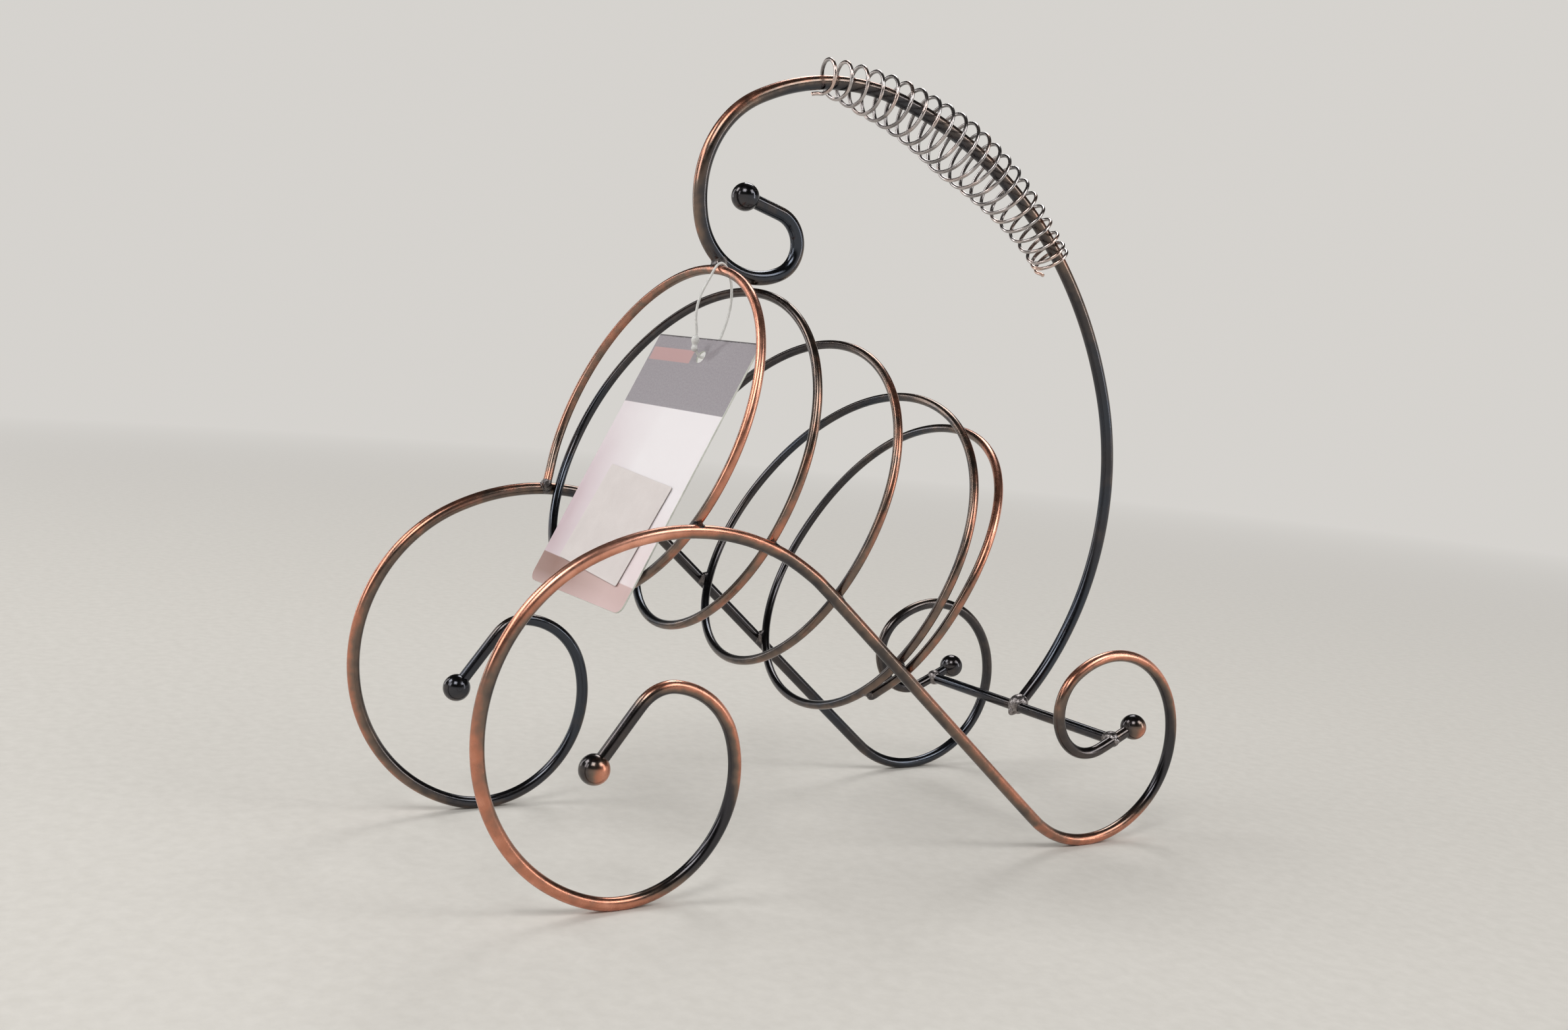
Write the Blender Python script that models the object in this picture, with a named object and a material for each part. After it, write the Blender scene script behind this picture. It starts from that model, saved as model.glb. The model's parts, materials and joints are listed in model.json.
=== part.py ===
"""Tabletop wine rack: a slanted basket of wound wire between two scrolled side frames, under a hooked handle.

X runs to the right side, Y from the front to the rear and Z up. The origin is on the table, under the middle.
"""

import math

import bmesh
import bpy
import numpy as np
from mathutils import Matrix, Vector

# Wires, balls and the clearance between pieces that touch
FRAME_WIRE = 0.0038
BASKET_WIRE = 0.0028
HANDLE_WIRE = 0.0044
BAR_WIRE = 0.0038
GRIP_WIRE = 0.0012
BALL_DIAMETER = 0.0086
BALL_SOCKET_DEPTH = 0.0014
GAP = 0.0003

# Side frames: one wire each, scrolled in at both ends, with spokes measured to their balls' centres
FRAME_SPACING = 0.096
FRONT_SPOKE = 0.021
FRONT_SPOKE_RISE_DEG = 53
FRONT_SCROLL_RADII = (0.0115, 0.023, 0.033, 0.0505, 0.070)
FRONT_SCROLL_TURNS_DEG = (59, 63, 129, 136, 66)
REAR_SCROLL_RADII = (0.038, 0.030, 0.0147)
REAR_SCROLL_TURNS_DEG = (83, 174, 167)
REAR_SPOKE = 0.0157

# Cross bar between the rear spokes
BAR_FROM_BALL = 0.0097

# Handle: one wire from the middle of the cross bar up and over to a hook, whose underside carries the basket
HANDLE_FOOT_RISE_DEG = 44.4
HANDLE_RADII = (0.104, 0.142, 0.077, 0.0333, 0.021, 0.0097)
HANDLE_TURNS_DEG = (66, 58.5, 39.5, 77.5, 100.5, 138.5)
HANDLE_END = 0.0135
CONTACT_FROM_END = 0.0569

# Basket: one wire wound between the side frames, counted in half turns from the left
BASKET_AXIS_DROP_DEG = 23.8
BASKET_LEAN_START_DEG = 70.9
BASKET_LEAN_END_DEG = 56.3
BASKET_RADIUS = 0.0521
BASKET_HALF_LENGTH = 0.050
BASKET_BOW = 0.0028
BASKET_START_LIFT = 0.0030
BASKET_HALF_TURNS = 9.3
BASKET_STATIONS = (-0.16, 0.5, 1, 2, 3, 4, 5, 6, 7, 7.5, 8, 8.5, 9, 9.3)
BASKET_PLACE_SHARES = (
    -0.97, -0.928, -0.92, -0.835, -0.44, -0.12, 0.15, 0.58, 0.74, 1.08, 1.22, 0.96, 0.87, 1.09,
)
BASKET_END_GAP = 0.0005

# The first top's place in half turns, and where a contact is looked for, with how far it may move
FIRST_TOP_SHARE = 1 / 2
CONTACT_REACH_SHARE = 0.45
CONTACT_SEARCH = 0.015

# Grip: a barrel of spring wire wound round the top of the handle, from its rear end to its front end
GRIP_FROM_FOOT = 0.176
GRIP_LENGTH = 0.118
GRIP_DIAMETER = 0.0213
GRIP_TURNS = 22
GRIP_STATION_SHARES = (0, 0.1, 0.32, 0.5, 0.85, 1)
GRIP_DIAMETER_SHARES = (0.635, 0.68, 0.89, 1, 0.72, 0.55)
GRIP_TOP_CLEARANCES = (0.0004, 0.0007, 0.0026, 0.0034, 0.0028, 0.0044)
GRIP_CLOSE_TURNS = 2
GRIP_CLOSE_PITCH_SHARE = 0.5
GRIP_TAIL = 0.0042
GRIP_TAIL_BEND = 0.002
GRIP_TAIL_CLEARANCE = 0.0004

# Welds, their radius a share of the two wires' mean width
WELD_SHARE = 0.95

# Hang tag: a card on a thin looped fastener, with a sticker on its front
TAG_WIDTH = 0.057
TAG_LENGTH = 0.0865
TAG_THICKNESS = 0.0006
TAG_CORNER = 0.003
TAG_HOLE = 0.004
TAG_HOLE_FROM_TOP = 0.0063
TAG_HOLE_SIDE = 0.0013
TAG_SIDE = 0.0050
CARD_TILT_DEG = 17.2
CARD_YAW_DEG = 1
FASTENER_WIRE = 0.0008
FASTENER_DROP = 0.0265
FASTENER_LEAN_DEG = 10.3
FASTENER_HALF_WIDTH = 0.0032
LOCK_DIAMETER = 0.0024
LOCK_LENGTH = 0.0035
STICKER_WIDTH = 0.038
STICKER_LENGTH = 0.032
STICKER_THICKNESS = 0.0002
STICKER_SIDE = 0.0013
STICKER_BELOW_HOLE = 0.056
STICKER_TURN_DEG = 4

# Fineness of the wires, the beads and the measurements
FRAME_STEP_DEG = 10
HANDLE_STEP_DEG = 6
WIRE_BEVEL_STEPS = 2
SPRING_BEVEL_STEPS = 1
GRIP_POINTS_PER_TURN = 9
BASKET_POINTS_PER_TURN = 24
CUTTER_SEGMENTS = 16
CUTTER_REACH = 4
BALL_SEGMENTS = 16
BALL_RINGS = 10
WELD_SEGMENTS = 12
WELD_RINGS = 8
TAG_CORNER_STEPS = 3
TAG_HOLE_STEPS = 16
TAG_SEARCH_DEG = 15
FASTENER_END_STEPS = 6
SHARP_DEG = 40
MEASURE_SPACING = 0.0005
SEGMENT_SAMPLES = 5
TOUCH_SAMPLES = 25
TOUCH_STEPS = 301
START_SAMPLES = 401
WIDTH_SAMPLES = 181
BISECTIONS = 24
SETTLING_ROUNDS = 3


def clear_scene():
    for obj in list(bpy.data.objects):
        bpy.data.objects.remove(obj, do_unlink=True)


def new_collection(name, hidden=False):
    collection = bpy.data.collections.new(name)
    bpy.context.scene.collection.children.link(collection)
    collection.hide_render = hidden
    return collection


def material(name, colour, roughness, metallic):
    made = bpy.data.materials.new(name)
    made.use_nodes = True
    shader = made.node_tree.nodes["Principled BSDF"]
    shader.inputs["Base Color"].default_value = (*colour, 1)
    shader.inputs["Roughness"].default_value = roughness
    shader.inputs["Metallic"].default_value = metallic
    return made


# Flat routes: straights and bends in the Y Z plane, as (length,) or (radius, turn), left turns positive


def length_of(stretch):
    if len(stretch) == 1:
        return stretch[0]
    return stretch[0] * abs(math.radians(stretch[1]))


def advance(place, heading_deg, stretch, share):
    """The place and heading after a share of one stretch."""
    y, z = place
    first = math.radians(heading_deg)
    if len(stretch) == 1:
        run = stretch[0] * share
        return (y + run * math.cos(first), z + run * math.sin(first)), heading_deg
    radius, turn = stretch
    arm = math.copysign(radius, turn)
    last_deg = heading_deg + turn * share
    last = math.radians(last_deg)
    side = arm * (math.sin(last) - math.sin(first))
    rise = arm * (math.cos(first) - math.cos(last))
    return (y + side, z + rise), last_deg


def bend_shares(heading_deg, turn, step):
    """The shares of a bend at which its heading passes a half step, so that its lowest chord lies level."""
    low, high = sorted((heading_deg, heading_deg + turn))
    halves = [(count + 1 / 2) * step for count in range(math.floor(low / step), math.ceil(high / step))]
    return sorted((half - heading_deg) / turn for half in halves if low < half < high)


def flat_route(start, heading_deg, stretches, step):
    """The points along the stretches, with the place and heading at their end."""
    place = start
    points = [start]
    for stretch in stretches:
        if len(stretch) == 1:
            end, _ = advance(place, heading_deg, stretch, 1)
            points += [end] if points[-1] == place else [place, end]
        else:
            shares = bend_shares(heading_deg, stretch[1], step)
            points += [advance(place, heading_deg, stretch, share)[0] for share in shares]
        place, heading_deg = advance(place, heading_deg, stretch, 1)
    return points, place, heading_deg


def at_distance(start, heading_deg, stretches, distance):
    """The place and heading at a distance along the stretches."""
    place = start
    for stretch in stretches:
        length = length_of(stretch)
        if distance <= length:
            return advance(place, heading_deg, stretch, distance / length)
        distance -= length
        place, heading_deg = advance(place, heading_deg, stretch, 1)
    return place, heading_deg


def direction(heading_deg):
    return np.array([math.cos(math.radians(heading_deg)), math.sin(math.radians(heading_deg))])


def in_space(points, x):
    """The Y Z points as an array of points in space at one X."""
    flat = np.array(points)
    return np.column_stack([np.full(len(flat), x), flat])


# Distances between routes in space


def thicken(route, spacing):
    """The route with points added, so that no two neighbours lie further apart than the spacing."""
    made = [route[:1]]
    for first, last in zip(route[:-1], route[1:]):
        count = max(1, math.ceil(np.linalg.norm(last - first) / spacing))
        shares = np.arange(1, count + 1)[:, None] / count
        made.append(first + (last - first) * shares)
    return np.concatenate(made)


def nearest(route_a, route_b):
    """The least distance between two routes, with the place and direction of it on each."""
    fine_a = thicken(route_a, MEASURE_SPACING)
    fine_b = thicken(route_b, MEASURE_SPACING)
    apart = np.linalg.norm(fine_a[:, None] - fine_b[None], axis=2)
    index_a, index_b = np.unravel_index(apart.argmin(), apart.shape)
    places = []
    for fine, index in ((fine_a, index_a), (fine_b, index_b)):
        run = fine[min(index + 1, len(fine) - 1)] - fine[max(index - 1, 0)]
        places.append((fine[index], run / np.linalg.norm(run)))
    return apart.min(), places[0], places[1]


def own_gap(route, wire, skip):
    """The least clear gap of a wound wire to itself, past the neighbouring points of each point."""
    least = math.inf
    for index in range(len(route) - skip - 1):
        for other in range(index + skip, len(route) - 1):
            near = segment_distance(route[index], route[index + 1], route[other], route[other + 1])
            least = min(least, near)
    return least - wire


def segment_distance(a, b, c, d):
    """The distance between two straight stretches, read on a few points of each."""
    shares = np.linspace(0, 1, SEGMENT_SAMPLES)[:, None]
    first = a + (b - a) * shares
    second = c + (d - c) * shares
    return np.linalg.norm(first[:, None] - second[None], axis=2).min()


# Wires and pieces


def wire(name, route, diameter, mat, bevel, collection):
    """A tube along the route's points, with filled caps."""
    curve = bpy.data.curves.new(name, "CURVE")
    curve.dimensions = "3D"
    curve.bevel_depth = diameter / 2
    curve.bevel_resolution = bevel
    curve.use_fill_caps = True
    spline = curve.splines.new("POLY")
    spline.points.add(len(route) - 1)
    for point, place in zip(spline.points, route):
        point.co = (*place, 1)
        point.tilt = math.pi / wire_sides(bevel)
    spline.use_smooth = True
    curve.materials.append(mat)
    obj = bpy.data.objects.new(name, curve)
    collection.objects.link(obj)
    return obj


def wire_sides(bevel):
    return 4 + 2 * bevel


def mesh_object(name, mesh_bm, mat, collection, smooth=True):
    mesh = bpy.data.meshes.new(name)
    mesh_bm.to_mesh(mesh)
    mesh_bm.free()
    if smooth:
        mesh.shade_smooth()
    if mat:
        mesh.materials.append(mat)
    obj = bpy.data.objects.new(name, mesh)
    collection.objects.link(obj)
    return obj


def ball(name, centre, radius, mat, collection, segments, rings):
    made = bmesh.new()
    bmesh.ops.create_uvsphere(made, u_segments=segments, v_segments=rings, radius=radius)
    obj = mesh_object(name, made, mat, collection)
    obj.location = centre
    return obj


def rod(radius, length):
    """A round rod along Z, as a bmesh."""
    made = bmesh.new()
    bmesh.ops.create_cone(
        made, cap_ends=True, segments=CUTTER_SEGMENTS, radius1=radius, radius2=radius, depth=length
    )
    return made


def rod_cutter(name, centre, axis, radius, length, cutters):
    """A round cutter along an axis."""
    obj = mesh_object(name, rod(radius, length), None, cutters)
    obj.location = centre
    obj.rotation_euler = Vector(axis).to_track_quat("Z", "Y").to_euler()
    obj.hide_render = True
    obj.display_type = "WIRE"
    return obj


def cut(obj, cutter):
    modifier = obj.modifiers.new(cutter.name, "BOOLEAN")
    modifier.operation = "DIFFERENCE"
    modifier.object = cutter


def seated_ball(name, end, outward, wire_size, mat, collection, cutters):
    """A ball on a wire's end, with a socket that clears the wire."""
    centre = np.array(end) + np.array(outward) * ball_reach()
    obj = ball(name, centre, BALL_DIAMETER / 2, mat, collection, BALL_SEGMENTS, BALL_RINGS)
    floor = centre - np.array(outward) * (BALL_DIAMETER / 2 - BALL_SOCKET_DEPTH)
    mouth = floor - np.array(outward) * BALL_DIAMETER
    middle = (floor + mouth) / 2
    cut(obj, rod_cutter(name + "_socket", middle, outward, wire_size / 2 + GAP, BALL_DIAMETER, cutters))
    return obj


def weld(name, wires, mat, collection, cutters):
    """A bead where the first two wires meet, hollowed by every wire given as (place, along, size)."""
    (place_a, _, size_a), (place_b, _, size_b) = wires[:2]
    share = (size_a + GAP) / (size_a + size_b + 2 * GAP)
    centre = place_a + (place_b - place_a) * share
    radius = (size_a + size_b) / 2 * WELD_SHARE
    obj = ball(name, centre, radius, mat, collection, WELD_SEGMENTS, WELD_RINGS)
    for index, (place, along, size) in enumerate(wires):
        length = CUTTER_REACH * radius
        cut(obj, rod_cutter(f"{name}_hollow_{index}", place, along, size / 2 + GAP, length, cutters))
    return obj


# Routes of the rack's wires


def ball_reach():
    """How far a ball's centre lies past its wire's end."""
    return BALL_DIAMETER / 2 - BALL_SOCKET_DEPTH + GAP


def frame_stretches():
    """The side frame's stretches, its slope just long enough for both scrolls to stand on the table."""
    front = [(FRONT_SPOKE - ball_reach(),)]
    front += [(radius, -turn) for radius, turn in zip(FRONT_SCROLL_RADII, FRONT_SCROLL_TURNS_DEG)]
    rear = list(zip(REAR_SCROLL_RADII, REAR_SCROLL_TURNS_DEG)) + [(REAR_SPOKE - ball_reach(),)]
    front_points, top, slope_deg = flat_route((0, 0), FRONT_SPOKE_RISE_DEG, front, FRAME_STEP_DEG)
    rear_points, _, _ = flat_route(top, slope_deg, rear, FRAME_STEP_DEG)
    front_low = min(z for _, z in front_points)
    rear_low = min(z for _, z in rear_points)
    slope = (rear_low - front_low) / -math.sin(math.radians(slope_deg))
    return front + [(slope,)] + rear, front_low


def eased(u, stations, values):
    """A smooth curve through the values at the stations."""
    stations = np.array(stations, float)
    values = np.array(values, float)
    slopes = np.gradient(values, stations)
    index = np.clip(np.searchsorted(stations, u, side="right") - 1, 0, len(stations) - 2)
    span = stations[index + 1] - stations[index]
    t = np.clip((u - stations[index]) / span, 0, 1)
    start = (1 + 2 * t) * (1 - t) ** 2 * values[index] + t * (1 - t) ** 2 * span * slopes[index]
    end = t**2 * (3 - 2 * t) * values[index + 1] - t**2 * (1 - t) * span * slopes[index + 1]
    return start + end


def swelling(u, widths):
    """The half width at u, eased from one half turn to the next."""
    index = np.clip(np.floor(u).astype(int), 0, len(widths) - 2)
    t = (1 - np.cos(math.pi * np.clip(u - index, 0, 1))) / 2
    return widths[index] + (widths[index + 1] - widths[index]) * t


def basket_side(u, centre, places):
    """The basket wire's Y and Z at u half turns: a leaning ring whose centre moves along a bowed axis."""
    drop = -math.radians(BASKET_AXIS_DROP_DEG)
    along = eased(u, BASKET_STATIONS, places)
    bow = BASKET_BOW * (1 - (along / BASKET_HALF_LENGTH) ** 2)
    lean_change = BASKET_LEAN_END_DEG - BASKET_LEAN_START_DEG
    lean = np.radians(BASKET_LEAN_START_DEG + lean_change * u / BASKET_HALF_TURNS)
    up = BASKET_RADIUS * np.sin(math.pi * u)
    y = centre[0] + along * math.cos(drop) - bow * math.sin(drop) + up * np.cos(lean)
    z = centre[1] + along * math.sin(drop) + bow * math.cos(drop) + up * np.sin(lean)
    return np.column_stack([y, z])


def basket_route(u, centre, places, widths):
    across = -swelling(u, widths) * np.cos(math.pi * u)
    return np.column_stack([across, basket_side(u, centre, places)])


def bisect(low, high, too_low):
    """The value between two at which the test stops holding."""
    for _ in range(BISECTIONS):
        middle = (low + high) / 2
        if too_low(middle):
            low = middle
        else:
            high = middle
    return (low + high) / 2


def level_widths():
    """One half width for each half turn, all at the frames."""
    return np.full(math.ceil(BASKET_HALF_TURNS) + 1, FRAME_SPACING / 2)


def basket_widths(centre, places, frame_flat):
    """Half widths, one for each half turn, at which the wire just touches the frame on that side."""
    touch = (FRAME_WIRE + BASKET_WIRE) / 2 + GAP
    rail = FRAME_SPACING / 2
    widths = level_widths()
    fine = thicken(frame_flat, MEASURE_SPACING)
    sides = {}
    for turn in range(1, len(widths) - 1):
        u = np.linspace(turn - CONTACT_REACH_SHARE, turn + CONTACT_REACH_SHARE, WIDTH_SAMPLES)
        away = np.linalg.norm(basket_side(u, centre, places)[:, None] - fine[None], axis=2).min(axis=1)
        near = away < touch
        sides[turn] = (u[near], rail - np.sqrt(touch**2 - away[near] ** 2))
    for _ in range(BISECTIONS):
        for turn, (u, limit) in sides.items():
            share = np.abs(np.cos(math.pi * u))
            widths[turn] += ((limit - swelling(u, widths) * share) / share).min()
        widths[0] = widths[1]
        widths[-1] = widths[-3]
    return widths


def first_touch(values, apart, need):
    """The last of the values in turn at which two wires are still further apart than needed."""
    kept = values[0]
    for value in values:
        if apart(value) < need:
            break
        kept = value
    return kept


def basket_centre(places, handle_start, stretches):
    """The basket's middle, from the side, with its first top under the handle's contact."""
    distance = sum(length_of(stretch) for stretch in stretches) - CONTACT_FROM_END
    place, heading = at_distance(handle_start, HANDLE_FOOT_RISE_DEG, stretches, distance)
    under = -direction(heading + 90) * ((HANDLE_WIRE + BASKET_WIRE) / 2 + GAP)
    top = basket_side(np.array([FIRST_TOP_SHARE]), (0, 0), places)[0]
    return np.array(place) + under - top


def basket_places(centre, places, widths):
    """The loops' places along the axis, with the end against the loop before."""
    end = np.linspace(BASKET_HALF_TURNS - CONTACT_REACH_SHARE, BASKET_HALF_TURNS, TOUCH_SAMPLES)
    before = end - 2

    def end_apart(value):
        places[-1] = value
        return nearest(
            basket_route(end, centre, places, widths), basket_route(before, centre, places, widths)
        )[0]

    search = np.linspace(-CONTACT_SEARCH, CONTACT_SEARCH, TOUCH_STEPS)
    places[-1] = first_touch(places[-1] - search, end_apart, BASKET_WIRE + BASKET_END_GAP)
    return places


def basket_start(centre, places, frame_flat):
    """Where the wire has come down to the left frame, in half turns, and how far off it is, from the side."""
    fine = thicken(frame_flat, MEASURE_SPACING)
    u = np.linspace(0, -1 / 2, START_SAMPLES)
    away = np.linalg.norm(basket_side(u, centre, places)[:, None] - fine[None], axis=2).min(axis=1)
    index = int(np.argmax(away < BASKET_START_LIFT))
    return u[index], away[index]


def grip_advance(share):
    """The share of the grip's length covered after a share of its turns, its rear turns lying closer."""
    turns = share * GRIP_TURNS
    close = min(turns, GRIP_CLOSE_TURNS)
    whole = GRIP_TURNS - GRIP_CLOSE_TURNS * (1 - GRIP_CLOSE_PITCH_SHARE)
    return (turns - close * (1 - GRIP_CLOSE_PITCH_SHARE)) / whole


def around_handle(handle_start, stretches, distance, offset, radius, angle):
    """A point on a ring round the handle, the ring's centre offset, at an angle from the outer side."""
    place, heading = at_distance(handle_start, HANDLE_FOOT_RISE_DEG, stretches, distance)
    outward = -direction(heading + 90)
    flat = np.array(place) + outward * (offset + radius * math.cos(angle))
    return np.array([radius * math.sin(angle), *flat])


def grip_route(handle_start, stretches):
    """The spring wire wound round the handle, each end straight, the front one under the handle."""
    points = []
    for index in range(GRIP_TURNS * GRIP_POINTS_PER_TURN + 1):
        turns = index / GRIP_POINTS_PER_TURN
        share = grip_advance(turns / GRIP_TURNS)
        diameter = GRIP_DIAMETER * np.interp(share, GRIP_STATION_SHARES, GRIP_DIAMETER_SHARES)
        clearance = np.interp(share, GRIP_STATION_SHARES, GRIP_TOP_CLEARANCES)
        radius = (diameter - GRIP_WIRE) / 2
        offset = (HANDLE_WIRE + GRIP_WIRE) / 2 + clearance - radius
        angle = math.pi + 2 * math.pi * turns
        distance = GRIP_FROM_FOOT + GRIP_LENGTH * share
        points.append(around_handle(handle_start, stretches, distance, offset, radius, angle))
    tail = [GRIP_TAIL_BEND, GRIP_TAIL_BEND + GRIP_WIRE, GRIP_TAIL]
    under = (HANDLE_WIRE + GRIP_WIRE) / 2 + GRIP_TAIL_CLEARANCE
    for reach in tail:
        distance = GRIP_FROM_FOOT + GRIP_LENGTH + reach
        points.append(around_handle(handle_start, stretches, distance, 0, under, math.pi))
    first = points[0] - points[1]
    return np.array([points[0] + first / np.linalg.norm(first) * GRIP_WIRE] + points)


# The hang tag, in a frame whose origin is on the wire that it swings about


def card_outline():
    """The card's corners, counted from its hole: square above, rounded below."""
    right = TAG_WIDTH / 2 - TAG_HOLE_SIDE
    left = right - TAG_WIDTH
    top = TAG_HOLE_FROM_TOP
    low = top - TAG_LENGTH
    middle = low + TAG_CORNER
    points = [(left, top)]
    for across, first_deg in ((left + TAG_CORNER, 180), (right - TAG_CORNER, 270)):
        for step in range(TAG_CORNER_STEPS + 1):
            angle = math.radians(first_deg + 90 * step / TAG_CORNER_STEPS)
            points.append((across + TAG_CORNER * math.cos(angle), middle + TAG_CORNER * math.sin(angle)))
    return points + [(right, top)]


def circle_outline(radius, steps):
    return [
        (radius * math.cos(2 * math.pi * step / steps), radius * math.sin(2 * math.pi * step / steps))
        for step in range(steps)
    ]


def sheet(name, outlines, thickness, mat, collection):
    """A flat piece with the outlines as its edge and holes."""
    curve = bpy.data.curves.new(name, "CURVE")
    curve.dimensions = "2D"
    curve.fill_mode = "BOTH"
    curve.extrude = thickness / 2
    for outline in outlines:
        spline = curve.splines.new("POLY")
        spline.points.add(len(outline) - 1)
        spline.use_cyclic_u = True
        for point, place in zip(spline.points, outline):
            point.co = (*place, 0, 1)
    curve.materials.append(mat)
    obj = bpy.data.objects.new(name, curve)
    collection.objects.link(obj)
    return obj


def tag_frame(swing_deg):
    """The hole's place and the card's turn, about the wire, when the tag has swung forward by an angle."""
    fastener = math.radians(FASTENER_LEAN_DEG + swing_deg)
    hole = Vector((0, -math.sin(fastener), -math.cos(fastener))) * FASTENER_DROP
    lean = math.radians(FASTENER_LEAN_DEG + CARD_TILT_DEG + swing_deg)
    turn = Matrix.Rotation(math.pi / 2 - lean, 3, "X") @ Matrix.Rotation(math.radians(CARD_YAW_DEG), 3, "Y")
    return hole, turn


def tag_rest(hinge, lower_turn):
    """The swing at which the card's back comes to rest on the basket's lower turn."""
    need = (TAG_THICKNESS + BASKET_WIRE) / 2 + GAP

    def touches(swing_deg):
        hole, turn = tag_frame(swing_deg)
        local = [turn.transposed() @ (Vector(place - hinge) - hole) for place in lower_turn]
        inside = [place.z for place in local if abs(place.x) < TAG_WIDTH / 2 and place.y > -TAG_LENGTH]
        return max(inside) > -need

    return bisect(-TAG_SEARCH_DEG, TAG_SEARCH_DEG, touches)


def fastener_route():
    """The loop from over the wire down through the hole, as a closed route with half round ends."""
    apex = (BASKET_WIRE + FASTENER_WIRE) / 2 + GAP
    top = apex - FASTENER_HALF_WIDTH
    low = FASTENER_HALF_WIDTH - FASTENER_DROP
    points = []
    for centre, first_deg in ((top, 0), (low, 180)):
        for step in range(FASTENER_END_STEPS + 1):
            angle = math.radians(first_deg + 180 * step / FASTENER_END_STEPS)
            across = FASTENER_HALF_WIDTH * math.cos(angle)
            points.append((across, centre + FASTENER_HALF_WIDTH * math.sin(angle)))
    return points


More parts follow.
